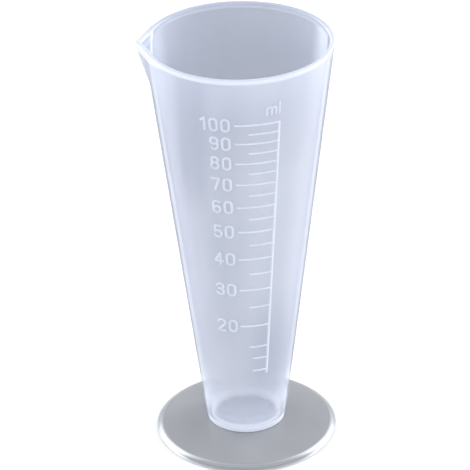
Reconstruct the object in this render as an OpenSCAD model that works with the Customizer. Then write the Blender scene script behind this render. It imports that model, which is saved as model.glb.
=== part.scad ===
// Conical measuring cup, 100 ml: a milky cup with a pinched pouring spout,
// its floor plug pressed into the socket of a clear domed foot, and a raised
// scale on the front of the cup.
// Millimetres. The origin is on the cup's axis at the table; +Z is up, the
// spout points along -X and the scale faces -Y.

/* [Cup] */
// Height of the rim above the table
total_h = 125.5; // [118:0.5:130]
// Outside diameter of the cup at the rim
mouth_d = 53; // [50:0.5:56]
// Outside diameter of the cup where it meets the foot
base_d = 23.2; // [23:0.1:23.6]
// Wall thickness, measured level
wall = 1.4; // [1.2:0.1:1.6]
// Height of the inner floor above the table
floor_h = 3.4; // [3.2:0.1:3.8]
// Radius of the fillet between the floor and the wall
floor_fillet = 1.7; // [1:0.1:2]
// Width of the rounded rim
rim_w = 1.5; // [1.4:0.1:2]

/* [Spout] */
// Distance of the spout's tip from the cup's axis
spout_reach = 29; // [28.6:0.1:29.4]
// Height over which the spout runs back into the wall
spout_drop = 13.5; // [11:0.5:16]
// Thickness of the spout at its tip
spout_wall = 2; // [1.8:0.1:2.2]

/* [Foot] */
// Diameter of the foot
foot_d = 53; // [50:0.5:56]
// Thickness of the foot's shell
foot_wall = 1.5; // [1.4:0.1:1.7]
// Height of the foot where the cup stands on it
crown_h = 4.05; // [3.9:0.05:4.2]
// Height of the foot at its edge, before the edge is rounded
edge_h = 1.35; // [1.2:0.05:1.5]
// Width of the ring that the foot stands on
ring_w = 1.7; // [1.5:0.1:2]
// Diameter of the floor plug, and of the socket that holds it
plug_d = 21.8; // [21.4:0.1:21.9]
// Outside diameter of the socket's collar under the foot
collar_d = 25; // [24.5:0.5:27]

/* [Scale] */
// Height of the raised marks above the wall
relief = 0.35; // [0.25:0.05:0.5]
// Thickness of the level marks
tick_t = 0.5; // [0.4:0.05:0.6]
// Width of the upright line that the marks start from
line_w = 0.65; // [0.5:0.05:0.8]
// Height of the figures
digit_h = 4.3; // [4:0.1:4.6]
// Thickness of the figures' strokes
stroke = 0.6; // [0.5:0.05:0.7]

/* [Hidden] */
$fn = 96;

// ---- cup: derived sizes ----
mouth_r = mouth_d/2;
base_r = base_d/2;
slope = (mouth_r - base_r)/(total_h - crown_h);
function r_out(z) = base_r + slope*(z - crown_h);
function r_in(z) = r_out(z) - wall;
plug_bottom = 1.4;
plug_r = plug_d/2;
bottom_round = 0.5;
// the fillet's circle touches the floor and the slanted wall
wall_a = atan(slope);
fil_x = r_in(floor_h) + slope*floor_fillet - floor_fillet/cos(wall_a);
fil_tx = fil_x + floor_fillet*cos(wall_a);
fil_tz = floor_h + floor_fillet - floor_fillet*sin(wall_a);

// ---- spout: a slanted V whose edges meet in a rounded tip ----
out_a = 22.5;
in_a = 22.7;
out_tip_r = 1.3;
in_tip_r = 0.6;
spout_z0 = total_h - spout_drop;
out_tilt = atan((spout_reach - r_out(spout_z0))/spout_drop);
in_tilt = atan((spout_reach - spout_wall - r_in(spout_z0))/spout_drop);

// ---- scale: the height at which the cup holds v millilitres ----
function z_of(v) = floor_h + (pow(pow(r_in(floor_h), 3) + 3*slope*v*1000/PI, 1/3) - r_in(floor_h))/slope;
az_line = 25;
az_long = -4.2;
az_half = 4.6;
az_short = 7.9;
az_digits = -7;
digit_w = 2.6;
digit_gap = 0.7;
line_top = z_of(100) + tick_t/2;
line_bottom = z_of(10) - 1.6;

// ============================== cup ==============================

// Points along an arc about c, from angle a0 to a1
function arc(c, r, a0, a1, n) = [for (i = [0:n]) c + r*[cos(a0 + (a1 - a0)*i/n), sin(a0 + (a1 - a0)*i/n)]];

// Outline of the cup's solid in the X-Z half plane, closed to the axis
module cup_outside_2d() {
    rim_c = [mouth_r - rim_w/2, total_h - rim_w/2];
    low_c = [r_out(crown_h + bottom_round) - bottom_round/cos(wall_a), crown_h + bottom_round];
    polygon(concat([[0, plug_bottom], [plug_r, plug_bottom], [plug_r, crown_h]],
                   arc(low_c, bottom_round, -90, -wall_a, 6),
                   arc(rim_c, rim_w/2, -wall_a, 90, 8), [[0, total_h]]));
}

// Outline of the hollow, with the rounded floor corner and the thicker rim
module cup_inside_2d() {
    rim_low = total_h - rim_w/2;
    taper = 2.5;
    polygon(concat([[0, floor_h]],
                   arc([fil_x, floor_h + floor_fillet], floor_fillet, -90, -wall_a, 8),
                   [[r_in(rim_low - taper), rim_low - taper]],
                   arc([mouth_r - rim_w/2, rim_low], rim_w/2, 180, 90, 8),
                   [[mouth_r - rim_w/2, total_h + 1], [0, total_h + 1]]));
}

// A V with a rounded tip at x = 0, opening towards +X
module vee_2d(a, tip_r, side) {
    c = [tip_r, 0];
    s = [side*sin(a), side*cos(a)];
    polygon(concat([[s[0] + 6, s[1]], s], arc(c, tip_r, 90 + a, 270 - a, 6), [[s[0], -s[1]], [s[0] + 6, -s[1]]]));
}

// The V drawn along its slanted tip line, which passes x = -reach at the rim
module spout_prism(reach, tilt, a, tip_r, below) {
    translate([-reach, 0, total_h]) rotate([0, -tilt, 0])
        translate([0, 0, -spout_drop/cos(tilt) - below])
            linear_extrude(height = spout_drop/cos(tilt) + below + 3) vee_2d(a, tip_r, 11);
}

module cup_body() color("#c9cde0") {
    difference() {
        union() {
            rotate_extrude() cup_outside_2d();
            difference() {
                spout_prism(spout_reach, out_tilt, out_a, out_tip_r, 4);
                translate([-40, -40, total_h]) cube([80, 80, 20]);
            }
        }
        rotate_extrude() cup_inside_2d();
        spout_prism(spout_reach - spout_wall, in_tilt, in_a, in_tip_r, 0);
    }
    // the moulding's gate mark under the floor
    translate([0, 0, plug_bottom - 0.3]) cylinder(h = 0.3, r = 0.7);
}

// ============================== foot ==============================

foot_r = foot_d/2;
// the dome is part of a large sphere through the crown and the edge
dome_r = (foot_r*foot_r - base_r*base_r)/(2*(crown_h - edge_h)) + (crown_h - edge_h)/2;
dome_z = crown_h - sqrt(dome_r*dome_r - base_r*base_r);
edge_round = 0.6;

// Height of the dome's surface at radius x, for the outer or the inner skin
function dome(x, r) = dome_z + sqrt(r*r - x*x);

// Outline of the foot's shell: a level seat for the cup, the dome around it,
// the hollow below, and a ring to stand on
module foot_2d() {
    ring_r = foot_r - ring_w;
    x1 = foot_r - edge_round;
    polygon(concat([[0, crown_h]],
                   [for (i = [0:12]) let (x = base_r + (x1 - base_r)*i/12) [x, dome(x, dome_r)]],
                   arc([x1, dome(x1, dome_r) - edge_round], edge_round, 90, 0, 5),
                   arc([foot_r - 0.4, 0.4], 0.4, 0, -90, 4),
                   [[ring_r, 0]],
                   [for (i = [12:-1:0]) let (x = ring_r*i/12) [x, dome(x, dome_r - foot_wall)]]));
}

module foot_disc() color("#a9acb4") {
    difference() {
        union() {
            rotate_extrude() foot_2d();
            // collar of the socket
            translate([0, 0, plug_bottom - 0.5]) cylinder(h = crown_h - plug_bottom + 0.5 - 0.6, r = collar_d/2);
        }
        // socket for the floor plug
        translate([0, 0, -1]) cylinder(h = crown_h + 2, r = plug_r);
    }
}

// ============================== scale ==============================

// A thin conical layer on the cup's outside, from height z0 to z1
module wall_layer(z0, z1, a0, a1) {
    rotate([0, 0, a0 - 90]) rotate_extrude(angle = a1 - a0)
        polygon([[r_out(z0), z0], [r_out(z0) + relief, z0], [r_out(z1) + relief, z1], [r_out(z1), z1]]);
}

// A level slab between two bearings, which the wall's layer cuts to a mark
module tick(v, a0) {
    translate([0, 0, z_of(v) - tick_t/2]) linear_extrude(height = tick_t)
        polygon([for (p = [[5, a0], [40, a0], [40, az_line], [5, az_line]])
                 p[0]*[cos(p[1] - 90), sin(p[1] - 90)]]);
}

module scale_lines() color("#e4e8f6") {
    intersection() {
        union() {
            rotate([0, 0, az_line - 90]) translate([5, -line_w/2, line_bottom]) cube([35, line_w, line_top - line_bottom]);
            for (v = [100:-10:20]) tick(v, az_long);
            for (v = [95:-10:15]) tick(v, az_half);
            for (v = [12.5, 10]) tick(v, az_short);
        }
        wall_layer(line_bottom - 3, line_top + 3, az_long - 8, az_line + 8);
    }
}

// ---- figures: level width digit_w, height digit_h, drawn from 0,0 ----
hw = digit_w/2;
lo_r = (digit_h + stroke)/4;

module ring_2d(r) {
    difference() { circle(r = r, $fn = 48); circle(r = r - stroke, $fn = 48); }
}

module oval_2d() {
    translate([hw, hw]) circle(r = hw, $fn = 48);
    translate([hw, digit_h - hw]) circle(r = hw, $fn = 48);
    translate([0, hw]) square([digit_w, digit_h - digit_w]);
}

module oval_hole_2d() {
    translate([hw, hw]) circle(r = hw - stroke, $fn = 48);
    translate([hw, digit_h - hw]) circle(r = hw - stroke, $fn = 48);
    translate([stroke, hw]) square([digit_w - 2*stroke, digit_h - digit_w]);
}

// A straight stroke from a to b
module bar_2d(a, b) {
    d = b - a;
    n = norm(d);
    u = [-d[1]/n, d[0]/n]*stroke/2;
    polygon([a + u, a - u, b - u, b + u]);
}

module six_2d() {
    translate([hw, hw]) ring_2d(hw);
    difference() {
        union() {
            translate([0, hw]) square([stroke, digit_h - digit_w]);
            difference() {
                translate([hw, digit_h - hw]) ring_2d(hw);
                translate([-1, -1]) square([digit_w + 2, digit_h - hw + 1]);
            }
        }
        translate([hw + 0.85*hw, digit_h - hw - 1]) square([2, 3]);
    }
}

module digit_2d(d) {
    if (d == 0) difference() { oval_2d(); oval_hole_2d(); }
    if (d == 1) {
        translate([digit_w - stroke - 0.4, 0]) square([stroke, digit_h]);
        bar_2d([digit_w - 0.5, digit_h - stroke/2], [digit_w - 1.75, digit_h - 1.05]);
    }
    if (d == 2) {
        difference() {
            translate([hw, digit_h - hw]) ring_2d(hw);
            translate([-1, -1]) square([digit_w/2 + 1, digit_h - hw + 1]);
            translate([-1, -1]) square([digit_w + 2, digit_h - 1.6*hw + 1]);
        }
        bar_2d([digit_w - 0.5, digit_h - 1.55*hw], [0.35, 0.3]);
        square([digit_w, stroke]);
    }
    if (d == 3) {
        difference() {
            union() {
                translate([hw - 0.08, lo_r]) ring_2d(lo_r);
                translate([hw - 0.08, digit_h - lo_r]) ring_2d(lo_r);
            }
            translate([-1, lo_r]) square([hw + 0.75, digit_h - 2*lo_r]);
        }
        translate([hw - 0.3, digit_h/2 - stroke/2]) square([0.8, stroke]);
    }
    if (d == 4) {
        translate([digit_w - stroke - 0.35, 0]) square([stroke, digit_h]);
        translate([0, 0.95]) square([digit_w, stroke]);
        bar_2d([0.3, 1.2], [digit_w - 0.75, digit_h - 0.2]);
    }
    if (d == 5) {
        difference() {
            translate([hw, hw + 0.05]) ring_2d(hw + 0.05);
            translate([-1, 0.75*hw]) square([hw + 0.35, digit_h]);
        }
        difference() {
            translate([hw, hw + 0.05]) ring_2d(hw + 0.05);
            translate([-1, -1]) square([digit_w + 2, hw + 1.05]);
        }
        translate([0.2, digit_h/2 - 0.25]) square([stroke, digit_h/2 + 0.25]);
        translate([0.2, digit_h - stroke]) square([digit_w - 0.3, stroke]);
    }
    if (d == 6) six_2d();
    if (d == 7) {
        translate([0, digit_h - stroke]) square([digit_w, stroke]);
        bar_2d([digit_w - 0.32, digit_h - 0.35], [0.9, 0]);
    }
    if (d == 8) {
        translate([hw, lo_r]) ring_2d(lo_r);
        translate([hw, digit_h - lo_r]) ring_2d(lo_r);
    }
    if (d == 9) translate([digit_w, digit_h]) rotate([0, 0, 180]) six_2d();
}

// The unit: a lower-case m, and an l beside it
module m_2d() {
    x_h = 2.9;
    for (x = [0, 1.3, 2.6]) translate([x, 0]) square([stroke, x_h - 0.7]);
    square([stroke, x_h]);
    for (x = [0, 1.3]) difference() {
        translate([x + 0.65 + stroke/2, x_h - 0.95]) circle(r = 0.65 + stroke/2, $fn = 48);
        translate([x + 0.65 + stroke/2, x_h - 0.95]) circle(r = 0.65 - stroke/2, $fn = 48);
        translate([x - 1, x_h - 3]) square([4, 2.05]);
    }
}

// Sets a flat figure on the cone: az is its own bearing, z its middle
module on_wall(az, z) {
    rotate([0, 0, az - 90]) translate([r_out(z) - 2, 0, z - digit_h/2]) rotate([90, 0, 90])
        linear_extrude(height = 4) children();
}

// Number n, its right edge at az_digits and its middle at the mark it names
module number(n) {
    z = z_of(n);
    q = [n % 10, floor(n/10) % 10, floor(n/100)];
    count = n > 99 ? 3 : 2;
    for (k = [0:count - 1]) {
        s = digit_w/2 + k*(digit_w + digit_gap) - (q[k] == 1 ? 0.15 : 0);
        on_wall(az_digits - s/r_out(z)*180/PI, z) translate([-digit_w/2, 0]) digit_2d(q[k]);
    }
}

module scale_numerals() color("#e4e8f6") {
    intersection() {
        wall_layer(30, 120, -40, 40);
        union() {
            for (n = [100:-10:20]) number(n);
            on_wall(19.4, 116) translate([-1.6, 0]) m_2d();
            on_wall(24.6, 116) translate([-stroke/2, 0]) square([stroke, digit_h]);
        }
    }
}

cup_body();
foot_disc();
scale_lines();
scale_numerals();
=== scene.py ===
import math

import bpy
import numpy as np
from mathutils import Matrix, Vector


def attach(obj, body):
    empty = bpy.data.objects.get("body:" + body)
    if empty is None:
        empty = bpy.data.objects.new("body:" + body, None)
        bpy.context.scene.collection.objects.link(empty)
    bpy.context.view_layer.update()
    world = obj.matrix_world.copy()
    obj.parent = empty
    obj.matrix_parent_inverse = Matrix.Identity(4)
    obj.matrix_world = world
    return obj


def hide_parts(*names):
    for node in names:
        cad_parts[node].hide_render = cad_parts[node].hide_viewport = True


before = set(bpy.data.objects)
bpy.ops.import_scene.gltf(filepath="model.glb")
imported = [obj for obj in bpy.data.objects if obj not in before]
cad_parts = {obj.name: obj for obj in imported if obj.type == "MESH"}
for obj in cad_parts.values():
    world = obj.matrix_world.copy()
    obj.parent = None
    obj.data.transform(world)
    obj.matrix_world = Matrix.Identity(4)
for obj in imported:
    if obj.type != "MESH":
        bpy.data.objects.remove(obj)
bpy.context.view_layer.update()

MM = 0.001

# ---------------------------------------------------------------- sizes, in mm
# They repeat the construction's own sizes. +Z is up, the spout points along -X
# and the scale faces -Y.
TOTAL_H = 125.5
MOUTH_R = 26.5
BASE_R = 11.6
CROWN = 4.05
WALL = 1.4
RIM_W = 1.5
RIM_H = 0.75
FLOOR = 3.4
FILLET = 1.7
PLUG_R = 10.9
PLUG_Z = 1.4
BOTTOM_ROUND = 0.5
REACH, IN_REACH = 29.0, 27.0
DROP = 13.5
OUT_A, IN_A = math.radians(22.5), math.radians(22.7)
FOOT_R = 26.5
FOOT_WALL = 1.5
EDGE_H = 1.35
RING_R = 24.8
COLLAR_R = 12.5
RELIEF = 0.26

SLOPE = (MOUTH_R - BASE_R) / (TOTAL_H - CROWN)
TILT = math.atan(SLOPE)


def r_out(z):
    return BASE_R + SLOPE * (z - CROWN)


def r_in(z):
    return r_out(z) - WALL


# ---------------------------------------------------------------- mesh helpers
def make_object(name, verts, faces, material, smooth=True):
    mesh = bpy.data.meshes.new(name)
    mesh.from_pydata([tuple(v) for v in (np.asarray(verts) * MM)], [], faces)
    mesh.validate()
    mesh.update()
    if smooth:
        mesh.polygons.foreach_set("use_smooth", [True] * len(mesh.polygons))
    mesh.materials.append(material)
    ob = bpy.data.objects.new(name, mesh)
    bpy.context.scene.collection.objects.link(ob)
    return ob


def lathe(rings, phi, first_z, last_z):
    """Points and faces of a closed surface: rings of (radius, height), each a
    number or an array over phi, between two points on the axis."""
    n = len(phi)
    ux, uy = -np.cos(phi), np.sin(phi)
    verts = [np.array([[0.0, 0.0, first_z]])]
    for r, z in rings:
        r = np.broadcast_to(r, n)
        z = np.broadcast_to(z, n)
        verts.append(np.stack([r * ux, r * uy, z], -1))
    verts.append(np.array([[0.0, 0.0, last_z]]))
    m = len(rings)
    faces = []
    for j in range(n):
        k = (j + 1) % n
        faces.append((0, 1 + k, 1 + j))
        for i in range(m - 1):
            a, b = 1 + i * n, 1 + (i + 1) * n
            faces.append((a + j, a + k, b + k, b + j))
        a = 1 + (m - 1) * n
        faces.append((a + j, a + k, a + n))
    return np.concatenate(verts), faces


def ring_surface(rings, phi):
    """A closed ring: the last ring of points joins the first."""
    n, m = len(phi), len(rings)
    ux, uy = -np.cos(phi), np.sin(phi)
    verts = [np.stack([r * ux, r * uy, np.full(n, z)], -1) for r, z in rings]
    faces = [
        (i * n + j, i * n + (j + 1) % n, (i + 1) % m * n + (j + 1) % n, (i + 1) % m * n + j)
        for i in range(m)
        for j in range(n)
    ]
    return np.concatenate(verts), faces


def smooth_max(a, b, k):
    h = np.clip(0.5 + 0.5 * (a - b) / k, 0, 1)
    return b + (a - b) * h + k * h * (1 - h)


def arc(cx, cz, r, a0, a1, n):
    t = np.radians(np.linspace(a0, a1, n + 1))
    return [(cx + r * math.cos(a), cz + r * math.sin(a)) for a in t]


# ---------------------------------------------------------------- the cup's shell
def bearings():
    """Angles round the axis from the spout, closer together at the spout."""
    near, mid = math.radians(6), math.radians(30)
    parts = [
        np.linspace(-near, near, 49)[:-1],
        np.linspace(near, mid, 73)[:-1],
        np.linspace(mid, 2 * math.pi - mid, 301)[:-1],
        np.linspace(2 * math.pi - mid, 2 * math.pi - near, 73)[:-1],
    ]
    return np.concatenate(parts)


PHI = bearings()


def vee(phi, reach, a, tip):
    """Distance from the axis of a V that points along phi = 0, its tip rounded."""
    p = np.abs((phi + math.pi) % (2 * math.pi) - math.pi)
    xc = reach - tip
    sharp = xc + tip / math.cos(a)
    line = sharp * math.cos(a) / np.cos(np.clip(p - a, -1.3, 1.3))
    touch = np.arctan2(tip * math.sin(a), xc + tip * math.cos(a))
    under = np.maximum(tip * tip - (xc * np.sin(p)) ** 2, 0)
    round_tip = xc * np.cos(p) + np.sqrt(under)
    r = np.where(p < touch, round_tip, line)
    # beyond its nearest point to the axis, the V's side falls away under the round wall
    return np.where(p < a, r, sharp * math.cos(a) - (p - a) * 9)


OUT_T = (REACH - r_out(TOTAL_H - DROP)) / DROP
IN_T = (IN_REACH - r_in(TOTAL_H - DROP)) / DROP


def outside(z):
    spout = vee(PHI, REACH - (TOTAL_H - z) * OUT_T, OUT_A, 1.3)
    # a shallow neck under the rim's bead, and the mark of a fold below it
    neck = 0.16 * math.exp(-(((z - 124.05) / 0.45) ** 2))
    return smooth_max(np.full_like(PHI, r_out(z)), spout, 0.5) - neck


def crease(z):
    """1 on the line where the spout's inside meets the round wall, falling to 0 beside it."""
    gap = vee(PHI, IN_REACH - (TOTAL_H - z) * IN_T, IN_A, 0.6) - r_in(z)
    p = np.abs((PHI + math.pi) % (2 * math.pi) - math.pi)
    slope = np.abs(np.gradient(gap, PHI)) / r_in(z)
    away = np.abs(gap) / np.maximum(slope, 0.02)
    high = min(max((z - (TOTAL_H - DROP)) / 5, 0), 1)
    return np.where(p < IN_A, np.exp(-((away / 0.8) ** 2)), 0) * high


def inside(z):
    wall = WALL + (RIM_W - WALL) * min(max((z - (TOTAL_H - 3)) / 2.2, 0), 1)
    spout = vee(PHI, IN_REACH - (TOTAL_H - z) * IN_T, IN_A, 0.6)
    return smooth_max(np.full_like(PHI, r_out(z) - wall), spout, 0.3) - 0.16 * crease(z)


def cup_rings():
    rings, marks, sides = [], [], []

    def add(r, z, mark=0.0, side=0.0):
        rings.append((r, z))
        marks.append(np.broadcast_to(mark, len(PHI)))
        sides.append(np.full(len(PHI), side))

    # under the floor: the gate mark, and the plug that sits in the foot
    for r, z in [(0.5, 1.1), (0.66, 1.14), (0.7, 1.38), (0.8, 1.4), (5, 1.4), (PLUG_R - 0.35, PLUG_Z),
                 (PLUG_R - 0.1, PLUG_Z + 0.1), (PLUG_R, PLUG_Z + 0.35), (PLUG_R, 2.6), (PLUG_R, CROWN - 0.02)]:
        add(r, z)
    low_x = r_out(CROWN + BOTTOM_ROUND) - BOTTOM_ROUND / math.cos(TILT)
    for r, z in arc(low_x, CROWN + BOTTOM_ROUND + 0.01, BOTTOM_ROUND, -90, -math.degrees(TILT), 6):
        add(r, z)
    # the wall's outside
    zs = list(np.linspace(6, 110, 40)) + list(np.linspace(110.6, 123, 26)) + list(np.linspace(123.2, 124.6, 9))
    for z in zs:
        add(outside(z), z)
    # the rim, a half round from the outside to the inside
    zc = TOTAL_H - RIM_H
    ro, ri = outside(zc), inside(zc)
    for b in np.linspace(0, 180, 17):
        a, k = math.radians(b), 0.72
        ca = math.copysign(abs(math.cos(a)) ** k, math.cos(a))
        mark = crease(zc) * min(max((b - 100) / 50, 0), 1)
        add((ro + ri) / 2 + (ro - ri) / 2 * ca, zc + RIM_H * math.sin(a) ** k, mark, b / 180)
    # the wall's inside, down to the fillet
    for z in [124.6, 124.4, 124.2, 124, 123.6] + list(np.linspace(123, 110.6, 26)):
        add(inside(z), z, crease(z), 1.0)
    fil_x = r_in(FLOOR) + SLOPE * FILLET - FILLET / math.cos(TILT)
    top_z = FLOOR + FILLET - FILLET * math.sin(TILT)
    for z in np.linspace(110, top_z + 1.2, 40):
        add(r_in(z), z, 0.0, 1.0)
    for r, z in arc(fil_x, FLOOR + FILLET, FILLET, -math.degrees(TILT), -90, 12):
        add(r, z, 0.0, 1.0)
    # the floor, with a faint witness mark over the gate
    for r, z in [(6.6, FLOOR), (4, FLOOR), (1.2, FLOOR), (0.75, FLOOR + 0.01), (0.55, FLOOR + 0.08), (0.3, FLOOR + 0.11)]:
        add(r, z, 0.0, 1.0)
    return rings, marks, sides


# ---------------------------------------------------------------- materials
class Nodes:
    """Short names for making a node material."""

    def __init__(self, name):
        self.mat = bpy.data.materials.new(name)
        self.mat.use_nodes = True
        self.nt = self.mat.node_tree
        self.nt.nodes.clear()
        self.out = self.new("ShaderNodeOutputMaterial")

    def new(self, kind, **settings):
        n = self.nt.nodes.new(kind)
        for k, v in settings.items():
            setattr(n, k, v)
        return n

    def put(self, socket, value):
        if isinstance(value, bpy.types.NodeSocket):
            self.nt.links.new(value, socket)
        elif value is not None:
            socket.default_value = value

    def math(self, op, a, b=None, c=None, clamp=False):
        n = self.new("ShaderNodeMath", operation=op, use_clamp=clamp)
        for i, v in enumerate((a, b, c)):
            if v is not None:
                self.put(n.inputs[i], v)
        return n.outputs[0]

    def span(self, value, low, high, to0=0.0, to1=1.0, smooth=True):
        n = self.new("ShaderNodeMapRange", interpolation_type="SMOOTHSTEP" if smooth else "LINEAR")
        self.put(n.inputs["Value"], value)
        for k, v in (("From Min", low), ("From Max", high), ("To Min", to0), ("To Max", to1)):
            n.inputs[k].default_value = v
        return n.outputs["Result"]

    def mix(self, fac, a, b, blend="MIX"):
        n = self.new("ShaderNodeMix", data_type="RGBA", blend_type=blend)
        self.put(n.inputs[0], fac)
        self.put(n.inputs[6], a)
        self.put(n.inputs[7], b)
        return n.outputs[2]

    def place(self):
        """Object coordinates: x, y, z, and the distance from the axis, in metres."""
        co = self.new("ShaderNodeTexCoord").outputs["Object"]
        s = self.new("ShaderNodeSeparateXYZ")
        self.put(s.inputs[0], co)
        x, y, z = s.outputs
        r = self.math("SQRT", self.math("ADD", self.math("MULTIPLY", x, x), self.math("MULTIPLY", y, y)))
        return co, x, y, z, r

    def noise(self, co, scale, detail=2.0, rough=0.5, stretch=None):
        if stretch:
            m = self.new("ShaderNodeMapping")
            self.put(m.inputs["Vector"], co)
            m.inputs["Scale"].default_value = stretch
            co = m.outputs[0]
        n = self.new("ShaderNodeTexNoise")
        self.put(n.inputs["Vector"], co)
        n.inputs["Scale"].default_value = scale
        n.inputs["Detail"].default_value = detail
        n.inputs["Roughness"].default_value = rough
        return n.outputs["Fac"]

    def bump(self, height, strength, distance):
        n = self.new("ShaderNodeBump")
        n.inputs["Strength"].default_value = strength
        n.inputs["Distance"].default_value = distance
        self.put(n.inputs["Height"], height)
        return n.outputs[0]

    def mix_shader(self, fac, a, b):
        n = self.new("ShaderNodeMixShader")
        self.put(n.inputs[0], fac)
        self.put(n.inputs[1], a)
        self.put(n.inputs[2], b)
        return n.outputs[0]


def rgb(r, g, b):
    """An sRGB colour, 0 to 255, as linear values."""
    def lin(v):
        v /= 255
        return v / 12.92 if v <= 0.04045 else ((v + 0.055) / 1.055) ** 2.4
    return (lin(r), lin(g), lin(b), 1.0)


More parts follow.
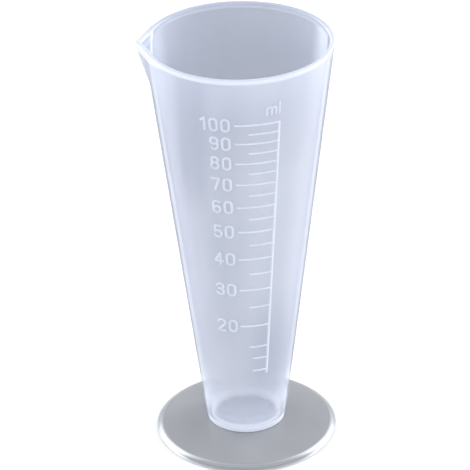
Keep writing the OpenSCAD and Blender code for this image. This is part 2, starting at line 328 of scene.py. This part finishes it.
def milky_plastic():
    """Milky plastic: soft light through the wall, whiter where the moulding is thick, with painted light and shade on
    the rim, the spout, the inside and the edges.
    """
    m = Nodes("milky_plastic")
    co, x, y, z, r = m.place()
    # whiter, denser places: the rim's bead and the thick corner at the floor; the spout's creases carry a painted
    # highlight (the bead is deeper on the spout)
    bead = m.span(m.math("ADD", z, m.span(x, -0.0205, -0.0245, 0, 0.0008)), 0.1237, 0.1246)
    within = m.new("ShaderNodeAttribute", attribute_name="within").outputs["Fac"]
    corner = m.math("MULTIPLY", m.span(z, 0.0067, 0.0057), m.span(r, 0.0091, 0.0097))
    gate = m.math("MULTIPLY", m.span(r, 0.0008, 0.0004), m.span(z, 0.006, 0.004))
    ridge = m.new("ShaderNodeAttribute", attribute_name="ridge").outputs["Fac"]
    thick = m.math("MAXIMUM", m.math("MAXIMUM", bead, corner), m.math("MAXIMUM", ridge, m.math("MULTIPLY", gate, 0.6)))
    # slow clouds and long flow streaks in the moulding
    cloud = m.span(m.noise(co, 38, 3, 0.55), 0.3, 0.7, smooth=False)
    flow = m.span(m.noise(co, 210, 2, 0.5, (1, 1, 0.03)), 0.3, 0.7, smooth=False)
    tone = m.math("ADD", m.math("MULTIPLY", cloud, 0.6), m.math("MULTIPLY", flow, 0.4))
    broad = m.span(m.noise(co, 58, 1, 0.4, (1, 1, 0.06)), 0.3, 0.7)
    outer = m.mix(broad, m.mix(tone, rgb(209, 214, 226), rgb(215, 219, 231)), m.mix(tone, rgb(221, 225, 236), rgb(227, 231, 241)))
    # painted shade: the wall's inside gets a much darker base than its outside, as if less light reached it
    inner_shaded = m.mix(tone, rgb(132, 136, 142), rgb(139, 143, 149))
    # painted light: paler inside at the spout's side, where light comes through, and paler low down, where the floor's
    # light reaches it
    spout_light = m.math("MULTIPLY", m.span(x, -0.0155, -0.0245, smooth=False), m.span(z, 0.105, 0.118))
    low = m.span(z, 0.026, 0.006)
    inner_shaded = m.mix(spout_light, inner_shaded, rgb(156, 161, 174))
    bottom = m.span(z, 0.0062, 0.0045)
    inner_shaded = m.mix(m.span(z, 0.022, 0.012), inner_shaded, rgb(184, 190, 202))
    inner_shaded = m.mix(bottom, inner_shaded, rgb(228, 233, 243))
    # painted shade: the outside darker towards the top
    outer = m.mix(m.span(z, 0.09, 0.118, 0, 0.45), outer, rgb(192, 197, 213))
    # painted shade: duller under the spout's front side, where less light comes through
    front = m.span(y, 0.004, -0.006)
    shade = m.math("MULTIPLY", m.math("MULTIPLY", m.span(x, -0.019, -0.0155), m.span(x, -0.0075, -0.012)), front)
    outer = m.mix(m.math("MULTIPLY", shade, m.span(z, 0.075, 0.095, 0, 0.5)), outer, rgb(180, 186, 203))
    # painted shade: the lower right of the front darker
    outer = m.mix(m.math("MULTIPLY", m.math("MULTIPLY", m.span(x, -0.005, 0.006), front), m.span(z, 0.06, 0.03, 0, 0.6)), outer, rgb(180, 187, 203))
    # painted light: the outside paler low down, where the floor's light reaches it
    outer = m.mix(low, outer, rgb(224, 228, 240))
    wall = m.mix(within, outer, inner_shaded)
    # the rim's bead: painted light, white over its top at the front and duller towards the back; painted shade in a
    # line outside that, stronger at the back, and on its inner side
    line = m.math("MULTIPLY", m.span(within, 0.2, 0.32), m.span(within, 0.52, 0.4))
    back_shade = m.span(y, -0.002, 0.02)
    bead_light_and_shade = m.mix(m.math("MULTIPLY", line, m.span(y, -0.002, 0.02, 0.1, 0.75)), m.mix(back_shade, rgb(226, 230, 240), rgb(198, 203, 215)), rgb(150, 156, 170))
    inner_side_shade = m.span(m.math("ADD", within, m.math("MULTIPLY", back_shade, 0.2)), 0.82, 1.0)
    bead_light_and_shade = m.mix(inner_side_shade, bead_light_and_shade, rgb(182, 188, 201))
    thick_and_painted_light = m.mix(bead, m.mix(within, rgb(219, 224, 237), rgb(252, 253, 255)), bead_light_and_shade)
    # painted highlight: a white line along the spout's inside crease
    thick_and_painted_light = m.mix(m.math("MULTIPLY", ridge, m.span(within, 0.5, 0.9)), thick_and_painted_light, rgb(250, 251, 255))
    colour = m.mix(thick, wall, thick_and_painted_light)
    # seen at a slant, the light crosses more of the milky wall, which looks whiter; its very edge gets a painted dark
    # outline, as shade
    facing = m.new("ShaderNodeLayerWeight")
    facing.inputs["Blend"].default_value = 0.5
    slant = facing.outputs["Facing"]
    long_way = m.math("MULTIPLY", m.span(slant, 0.42, 0.64), m.math("SUBTRACT", 1.0, bead))
    long_way = m.math("MULTIPLY", long_way, m.math("MAXIMUM", m.span(z, 0.021, 0.011), m.span(z, 0.018, 0.05, 0.4, 1.0)))
    long_way = m.math("MULTIPLY", long_way, m.math("SUBTRACT", 1.0, m.math("MULTIPLY", within, bottom)))
    inner_slant = m.mix(spout_light, rgb(242, 245, 252), rgb(176, 181, 194))
    whiter = m.mix(long_way, colour, m.mix(within, m.mix(m.span(z, 0.022, 0.012), rgb(209, 213, 226), rgb(232, 236, 246)), inner_slant))
    edge = m.math("MULTIPLY", m.span(slant, 0.765, 0.84, 0, 0.95), m.math("SUBTRACT", 1.0, m.math("MULTIPLY", within, low)))
    painted_outline = m.mix(edge, whiter, rgb(78, 84, 100))
    behind = m.mix(spout_light, m.mix(bottom, rgb(172, 177, 190), rgb(206, 211, 223)), rgb(186, 191, 204))
    through = m.mix(thick, m.mix(within, outer, behind), thick_and_painted_light)
    rough = m.span(m.noise(co, 160, 3, 0.6), 0.25, 0.75, 0.29, 0.38, smooth=False)
    fine = m.noise(co, 900, 2, 0.5, (1, 1, 0.25))
    bump = m.bump(m.math("ADD", fine, m.math("MULTIPLY", flow, 0.6)), 0.12, 0.0001)
    p = m.new("ShaderNodeBsdfPrincipled")
    m.put(p.inputs["Base Color"], painted_outline)
    m.put(p.inputs["Roughness"], rough)
    m.put(p.inputs["Normal"], bump)
    p.inputs["IOR"].default_value = 1.49
    t = m.new("ShaderNodeBsdfTranslucent")
    m.put(t.inputs["Color"], through)
    body = m.mix_shader(m.math("MULTIPLY_ADD", corner, -0.22, 0.5), p.outputs[0], t.outputs[0])
    clear = m.new("ShaderNodeBsdfTransparent")
    clear.inputs["Color"].default_value = (1, 1, 1, 1)
    # clearer low down, where the floor and its round corner show through; denser again at the corner's sides
    beside = m.math("MULTIPLY", m.span(m.math("ABSOLUTE", x), 0.0076, 0.0116), m.span(z, 0.0135, 0.0085))
    wall_solid = m.math("ADD", m.span(z, 0.0162, 0.0235, 0.34, 0.78), m.math("MULTIPLY", m.span(z, 0.0105, 0.0088), 0.14))
    wall_solid = m.math("MAXIMUM", wall_solid, m.math("MULTIPLY", beside, 0.7))
    solid = m.math("ADD", m.math("MULTIPLY", wall_solid, m.math("SUBTRACT", 1.0, thick)), m.math("MULTIPLY", thick, 0.92))
    m.put(m.out.inputs["Surface"], m.mix_shader(solid, clear.outputs[0], body))
    return m.mat


def relief_plastic(name, dull, bright):
    """The scale: the cup's own plastic, a little whiter where it stands proud."""
    m = Nodes(name)
    co, x, y, z, r = m.place()
    tone = m.span(m.noise(co, 300, 3, 0.6), 0.3, 0.7, smooth=False)
    colour = m.mix(tone, dull, bright)
    rough = m.span(m.noise(co, 500, 2, 0.5), 0.3, 0.7, 0.3, 0.4, smooth=False)
    p = m.new("ShaderNodeBsdfPrincipled")
    m.put(p.inputs["Base Color"], colour)
    m.put(p.inputs["Roughness"], rough)
    m.put(p.inputs["Normal"], m.bump(m.noise(co, 1500, 2, 0.5), 0.1, 0.0001))
    p.inputs["IOR"].default_value = 1.49
    t = m.new("ShaderNodeBsdfTranslucent")
    m.put(t.inputs["Color"], colour)
    m.put(m.out.inputs["Surface"], m.mix_shader(0.3, p.outputs[0], t.outputs[0]))
    return m.mat


def foot_plastic():
    """Smoke-grey clear plastic, polished, with a painted highlight and a painted dark line on its edge."""
    m = Nodes("smoky_clear_plastic")
    co, x, y, z, r = m.place()
    cloud = m.span(m.noise(co, 45, 3, 0.55), 0.3, 0.7, smooth=False)
    face = m.mix(cloud, rgb(145, 147, 151), rgb(152, 154, 158))
    edge = m.span(r, 0.02425, 0.0249)
    # painted highlight: the bevel is painted near white where it is seen at a moderate slant; painted shade in a thin
    # dark line near its foot
    facing = m.new("ShaderNodeLayerWeight")
    facing.inputs["Blend"].default_value = 0.5
    slant = facing.outputs["Facing"]
    bevel_highlight = m.math("MULTIPLY", m.span(slant, 0.15, 0.27), m.span(slant, 0.66, 0.42))
    bevel_highlight = m.math("MULTIPLY", bevel_highlight, m.span(r, 0.0246, 0.0255))
    bevel_dark_line = m.math("MULTIPLY", m.span(r, 0.0258, 0.02598), m.span(r, 0.02625, 0.02605))
    lit = m.mix(bevel_highlight, rgb(146, 149, 154), m.mix(m.span(slant, 0.3, 0.4), rgb(240, 242, 248), rgb(192, 195, 202)))
    lit = m.mix(m.math("MULTIPLY", bevel_dark_line, 0.6), lit, rgb(120, 124, 133))
    colour = m.mix(edge, face, lit)
    smear = m.noise(co, 220, 4, 0.65)
    rough = m.mix(edge, m.span(smear, 0.3, 0.75, 0.05, 0.1, smooth=False), m.span(smear, 0.3, 0.75, 0.3, 0.37, smooth=False))
    swirl = m.noise(co, 700, 2, 0.5)
    p = m.new("ShaderNodeBsdfPrincipled")
    m.put(p.inputs["Base Color"], colour)
    m.put(p.inputs["Roughness"], rough)
    m.put(p.inputs["Normal"], m.bump(swirl, 0.06, 0.0001))
    p.inputs["IOR"].default_value = 1.59
    clear = m.new("ShaderNodeBsdfTransparent")
    clear.inputs["Color"].default_value = (1, 1, 1, 1)
    m.put(m.out.inputs["Surface"], m.mix_shader(0.85, clear.outputs[0], p.outputs[0]))
    return m.mat


def floor_paint():
    m = Nodes("studio_floor")
    co = m.new("ShaderNodeTexCoord").outputs["Object"]
    tone = m.span(m.noise(co, 3, 2, 0.5), 0.3, 0.7, smooth=False)
    p = m.new("ShaderNodeBsdfPrincipled")
    m.put(p.inputs["Base Color"], m.mix(tone, (0.75, 0.755, 0.762, 1), (0.765, 0.77, 0.777, 1)))
    p.inputs["Roughness"].default_value = 0.9
    m.put(m.out.inputs["Surface"], p.outputs[0])
    return m.mat


MILKY = milky_plastic()
FOOT = foot_plastic()
MARKS = relief_plastic("raised_marks", rgb(210, 215, 226), rgb(217, 222, 233))
FIGURES = relief_plastic("raised_figures", rgb(206, 211, 223), rgb(213, 218, 229))

# ---------------------------------------------------------------- cup piece
rings, marks, sides = cup_rings()
verts, faces = lathe(rings, PHI, 1.1, FLOOR + 0.12)
cup = make_object("cup_shell", verts, faces, MILKY)
for name, rows, last in (("ridge", marks, 0.0), ("within", sides, 1.0)):
    values = np.concatenate([[0.0], np.concatenate(rows), [last]]).astype(np.float32)
    cup.data.attributes.new(name, "FLOAT", "POINT").data.foreach_set("value", values)
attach(cup, "root")
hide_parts("cup_body")

# ---------------------------------------------------------------- foot piece
DOME_R = (FOOT_R**2 - BASE_R**2) / (2 * (CROWN - EDGE_H)) + (CROWN - EDGE_H) / 2
DOME_Z = CROWN - math.sqrt(DOME_R**2 - BASE_R**2)


def dome(x, r):
    return DOME_Z + math.sqrt(r * r - x * x)


def foot_rings():
    top = [(PLUG_R, CROWN - 0.25), (PLUG_R + 0.03, CROWN - 0.08), (PLUG_R + 0.15, CROWN - 0.01), (BASE_R + 0.1, CROWN - 0.01)]
    top += [(x, dome(x, DOME_R)) for x in np.linspace(BASE_R + 0.5, 24.1, 22)]
    # the rounded edge, its outside turned under to the ring
    top += [(x, dome(x, DOME_R) - d) for x, d in ((24.35, 0), (24.6, 0.01), (24.85, 0.035), (25.1, 0.08), (25.35, 0.14),
                                                  (25.6, 0.225), (25.82, 0.33), (26.02, 0.46))]
    top += [(26.2, 0.82), (26.34, 0.69), (26.44, 0.56), (26.49, 0.44), (26.47, 0.32), (26.4, 0.21),
            (26.26, 0.11), (26.08, 0.03), (25.88, 0.0), (25.4, 0.0), (RING_R + 0.15, 0.0), (RING_R + 0.03, 0.06), (RING_R, 0.2),
            (RING_R - 0.06, dome(RING_R, DOME_R - FOOT_WALL) - 0.02)]
    under = DOME_R - FOOT_WALL
    top += [(x, dome(x, under)) for x in np.linspace(RING_R - 0.4, COLLAR_R + 0.4, 18)]
    top += [(COLLAR_R + 0.1, dome(COLLAR_R, under) - 0.12), (COLLAR_R, dome(COLLAR_R, under) - 0.4), (COLLAR_R, 1.2),
            (COLLAR_R - 0.05, 1.0), (COLLAR_R - 0.25, 0.9), (PLUG_R + 0.25, 0.9), (PLUG_R + 0.05, 1.0), (PLUG_R, 1.2)]
    return top


phi = np.linspace(0, 2 * math.pi, 289)[:-1]
verts, faces = ring_surface(foot_rings(), phi)
foot = make_object("foot_dome", verts, [f[::-1] for f in faces], FOOT)
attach(foot, "root")
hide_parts("foot_disc")

# ---------------------------------------------------------------- the scale
TICK_T, LINE_W = 0.5, 0.65
AZ_LINE, AZ_LONG, AZ_HALF, AZ_SHORT, AZ_DIGITS = 25.0, -4.2, 4.6, 7.9, -7.0
DIGIT_H, DIGIT_W, GAP, STROKE = 4.3, 2.6, 0.7, 0.6


def z_of(v):
    a = r_in(FLOOR)
    return FLOOR + ((a**3 + 3 * SLOPE * v * 1000 / math.pi) ** (1 / 3) - a) / SLOPE


def on_cone(az, z, lift):
    """A point over the wall: az in degrees from -Y towards +X."""
    r = r_out(z) + lift / math.cos(TILT)
    a = np.radians(az - 90)
    return np.stack([r * np.cos(a), r * np.sin(a), np.broadcast_to(z, np.shape(r))], -1)


def raised(az, z, reach, width):
    """A closed shell whose top rises like a rounded ridge where reach, the distance from the
    nearest stroke's middle, is under half its width. az, z and reach are arrays over a grid."""
    half = width / 2
    t = np.clip(reach / half, 0, 1.6)
    lift = RELIEF * np.where(t < 1, np.maximum(1 - t**2.6, 0) ** 0.5, -0.35 * (t - 1))
    low = -0.32 + 0 * lift
    rows, cols = reach.shape
    wanted = reach < half * 1.45
    cell = wanted[:-1, :-1] | wanted[1:, :-1] | wanted[:-1, 1:] | wanted[1:, 1:]
    index = -np.ones((2, rows, cols), int)
    pts, faces = [], []
    up, down = on_cone(az, z, lift), on_cone(az, z, low)

    def vert(side, i, j):
        if index[side, i, j] < 0:
            index[side, i, j] = len(pts)
            pts.append((up if side == 0 else down)[i, j])
        return int(index[side, i, j])

    for i, j in zip(*np.nonzero(cell)):
        a, b, c, d = (i, j), (i, j + 1), (i + 1, j + 1), (i + 1, j)
        faces.append([vert(0, *q) for q in (a, b, c, d)])
        faces.append([vert(1, *q) for q in (d, c, b, a)])
        for (p, q, off) in ((a, b, (-1, 0)), (b, c, (0, 1)), (c, d, (1, 0)), (d, a, (0, -1))):
            ni, nj = i + off[0], j + off[1]
            if not (0 <= ni < cell.shape[0] and 0 <= nj < cell.shape[1] and cell[ni, nj]):
                faces.append([vert(0, *q), vert(0, *p), vert(1, *p), vert(1, *q)])
    return pts, faces


def to_segment(u, v, a, b):
    a, b = np.array(a, float), np.array(b, float)
    d = b - a
    t = np.clip(((u - a[0]) * d[0] + (v - a[1]) * d[1]) / max(d @ d, 1e-9), 0, 1)
    return np.hypot(u - a[0] - t * d[0], v - a[1] - t * d[1])


def curve(cx, cy, rx, ry, a0, a1, n=28):
    t = np.radians(np.linspace(a0, a1, n + 1))
    return [(cx + rx * math.cos(a), cy + ry * math.sin(a)) for a in t]


S = STROKE / 2
W, H = DIGIT_W - S, DIGIT_H - S  # the strokes' middles run from S to W and from S to H
CX, RX = DIGIT_W / 2, DIGIT_W / 2 - S
LOW = DIGIT_H - RX - S


def six(flip=False):
    lines = [curve(CX, S + RX, RX, RX, 0, 360, 40), [(S, S + RX), (S, LOW)], curve(CX, LOW, RX, RX, 180, 42, 20)]
    if flip:
        lines = [[(DIGIT_W - x, DIGIT_H - y) for x, y in line] for line in lines]
    return lines


GLYPHS = {
    "0": [curve(CX, S + RX, RX, RX, 180, 360), [(W, S + RX), (W, LOW)], curve(CX, LOW, RX, RX, 0, 180), [(S, LOW), (S, S + RX)]],
    "1": [[(1.9, S), (1.9, H)], [(1.9, H), (0.85, H - 0.95)]],
    "2": [curve(CX, LOW, RX, RX, 170, -38, 26), [(CX + RX * 0.79, LOW - RX * 0.62), (S, S)], [(S, S), (W, S)]],
    "3": [curve(CX - 0.05, S + 0.98, RX, 0.98, -160, 90, 30), curve(CX - 0.05, H - 0.88, RX - 0.08, 0.88, 160, -90, 30), [(CX - 0.35, 2.28), (CX, 2.28)]],
    "4": [[(1.75, S), (1.75, H)], [(1.75, H), (0.25, 1.3)], [(0.25, 1.3), (W + 0.05, 1.3)]],
    "5": [curve(CX, S + 1.1, RX, 1.1, -155, 135, 30), [(0.5, 2.1), (0.6, H)], [(0.6, H), (W - 0.1, H)]],
    "6": six(),
    "7": [[(S, H), (W, H)], [(W, H), (1.05, S)]],
    "8": [curve(CX, S + 1.0, RX, 1.0, 0, 360, 40), curve(CX, H - 0.87, RX - 0.1, 0.87, 0, 360, 40)],
    "9": six(True),
    "m": [[(0.3, 0.3), (0.3, 2.6)], [(1.6, 0.3), (1.6, 1.95)], [(2.9, 0.3), (2.9, 1.95)],
          curve(0.95, 1.95, 0.65, 0.65, 0, 180, 16), curve(2.25, 1.95, 0.65, 0.65, 0, 180, 16)],
    "l": [[(0.3, 0.3), (0.3, 3.9)]],
}


def figure(char, az, z, width, height, step=0.1):
    """One figure: its middle at bearing az and height z."""
    pad = 0.55
    u = np.arange(-pad, width + pad + step, step)
    v = np.arange(-pad, height + pad + step, step)
    V, U = np.meshgrid(v, u, indexing="ij")
    reach = np.full(U.shape, 9.0)
    for line in GLYPHS[char]:
        for a, b in zip(line[:-1], line[1:]):
            reach = np.minimum(reach, to_segment(U, V, a, b))
    zz = z - height / 2 + V
    aa = az + np.degrees((U - width / 2) / r_out(z))
    return raised(aa, zz, reach, STROKE)


def joined(parts):
    pts, faces = [], []
    for p, f in parts:
        n = len(pts)
        pts += list(p)
        faces += [[i + n for i in q] for q in f]
    return pts, faces


parts = []
for value in range(100, 10, -10):
    z = z_of(value)
    for k, char in enumerate(reversed(str(value))):
        s = DIGIT_W / 2 + k * (DIGIT_W + GAP) - (0.15 if char == "1" else 0)
        parts.append(figure(char, AZ_DIGITS - math.degrees(s / r_out(z)), z, DIGIT_W, DIGIT_H))
parts.append(figure("m", 19.4, 115.6, 3.2, 3.5))
parts.append(figure("l", 24.6, 116.0, 0.6, 4.2))
pts, fcs = joined(parts)
figures = make_object("raised_figures", np.array(pts), fcs, FIGURES)
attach(figures, "root")
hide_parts("scale_numerals")


def scale_marks():
    """The upright line and its level marks, on one grid of bearings and heights."""
    top, bottom = z_of(100) + TICK_T / 2, z_of(10) - 1.6
    az = np.arange(AZ_LONG - 3, AZ_LINE + 3.01, 0.28)
    heights = set(np.round(np.arange(bottom - 1, top + 1, 0.45), 3))
    marks = [(v, AZ_LONG if v % 10 == 0 and v >= 20 else AZ_HALF if v >= 15 else AZ_SHORT) for v in
             [12.5, 10] + list(range(15, 101, 5))]
    for v, _ in marks:
        heights |= set(np.round(z_of(v) + np.linspace(-0.5, 0.5, 15), 3))
    zz = np.array(sorted(heights))
    keep = [zz[0]]
    for h in zz[1:]:
        if h - keep[-1] > 0.03:
            keep.append(h)
    Z, A = np.meshgrid(np.array(keep), az, indexing="ij")
    R = r_out(Z)
    across = R * np.radians(A - AZ_LINE)
    over = np.maximum(np.maximum(Z - (top - LINE_W / 2), (bottom + LINE_W / 2) - Z), 0)
    reach = np.hypot(across, over) * TICK_T / LINE_W
    for v, a0 in marks:
        end = np.maximum(R * np.radians(a0 - A) + TICK_T / 2, 0) + np.maximum(across, 0)
        reach = np.minimum(reach, np.hypot(Z - z_of(v), end))
    return raised(A, Z, reach, TICK_T)


pts, fcs = scale_marks()
lines = make_object("raised_marks", np.array(pts), fcs, MARKS)
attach(lines, "root")
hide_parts("scale_lines")

# ---------------------------------------------------------------- floor
bpy.ops.mesh.primitive_plane_add(size=8, location=(0, 0, 0))
ground = bpy.context.object
ground.name = "studio_floor"
ground.data.materials.append(floor_paint())


# ---------------------------------------------------------------- light
def softbox(name, at, to, size, power, colour=(1, 1, 1)):
    lamp = bpy.data.lights.new(name, "AREA")
    lamp.shape = "RECTANGLE"
    lamp.size, lamp.size_y = size
    lamp.energy = power
    lamp.color = colour
    ob = bpy.data.objects.new(name, lamp)
    ob.location = at
    ob.rotation_mode = "QUATERNION"
    ob.rotation_quaternion = (Vector(to) - Vector(at)).to_track_quat("-Z", "Y")
    bpy.context.scene.collection.objects.link(ob)
    return ob


softbox("left_box", (-0.70, 0.44, 0.31), (0, 0, 0.06), (0.45, 0.5), 7.2, (0.98, 0.99, 1))
softbox("right_box", (0.70, 0.44, 0.31), (0, 0, 0.06), (0.45, 0.5), 7.4, (0.99, 0.995, 1))
softbox("left_front_box", (-0.82, -0.20, 0.34), (0, 0, 0.06), (0.55, 0.4), 3.4)
softbox("right_front_box", (0.82, -0.20, 0.34), (0, 0, 0.06), (0.55, 0.4), 3.5)
softbox("front_box", (0.15, -1.1, 0.38), (0, 0, 0.06), (0.9, 0.6), 7.8)
softbox("top_box", (0, 0.15, 1.0), (0, 0, 0.06), (0.9, 0.9), 1.9)

world = bpy.data.worlds.new("studio")
bpy.context.scene.world = world
world.use_nodes = True
wn = world.node_tree
wn.nodes.clear()
w_out = wn.nodes.new("ShaderNodeOutputWorld")
light_bg = wn.nodes.new("ShaderNodeBackground")
light_bg.inputs["Color"].default_value = (0.96, 0.975, 1, 1)
light_bg.inputs["Strength"].default_value = 0.52
seen_bg = wn.nodes.new("ShaderNodeBackground")
seen_bg.inputs["Color"].default_value = (1, 1, 1, 1)
seen_bg.inputs["Strength"].default_value = 1.0
path = wn.nodes.new("ShaderNodeLightPath")
mix = wn.nodes.new("ShaderNodeMixShader")
wn.links.new(path.outputs["Is Camera Ray"], mix.inputs[0])
wn.links.new(light_bg.outputs[0], mix.inputs[1])
wn.links.new(seen_bg.outputs[0], mix.inputs[2])
wn.links.new(mix.outputs[0], w_out.inputs["Surface"])

scene = bpy.context.scene
scene.view_settings.view_transform = "Standard"
scene.view_settings.look = "None"
scene.cycles.transparent_max_bounces = 24

# ---------------------------------------------------------------- camera
EL = 0.509815
ROLL = -0.0195078
DIST, AIM, FOCAL = 0.792122, 0.06095, 2762.387
PX, PY = 243.098, 244.090
c, s = math.cos(EL), math.sin(EL)
right, up, fwd = Vector((1, 0, 0)), Vector((0, s, c)), Vector((0, c, -s))
cr, sr = math.cos(ROLL), math.sin(ROLL)
axis_x = right * cr + up * sr
axis_y = up * cr - right * sr
camera = bpy.data.cameras.new("camera")
camera.sensor_width = 36
camera.lens = FOCAL / 470 * 36
camera.shift_x = -(PX - 235) / 470
camera.shift_y = (PY - 235) / 470
camera.clip_start, camera.clip_end = 0.01, 50
cam = bpy.data.objects.new("camera", camera)
m = Matrix.Identity(4)
for i, v in enumerate((axis_x, axis_y, -fwd)):
    for k in range(3):
        m[k][i] = v[k]
m.translation = Vector((0, 0, AIM)) - fwd * DIST
cam.matrix_world = m
scene.collection.objects.link(cam)
scene.camera = cam

bpy.context.view_layer.update()
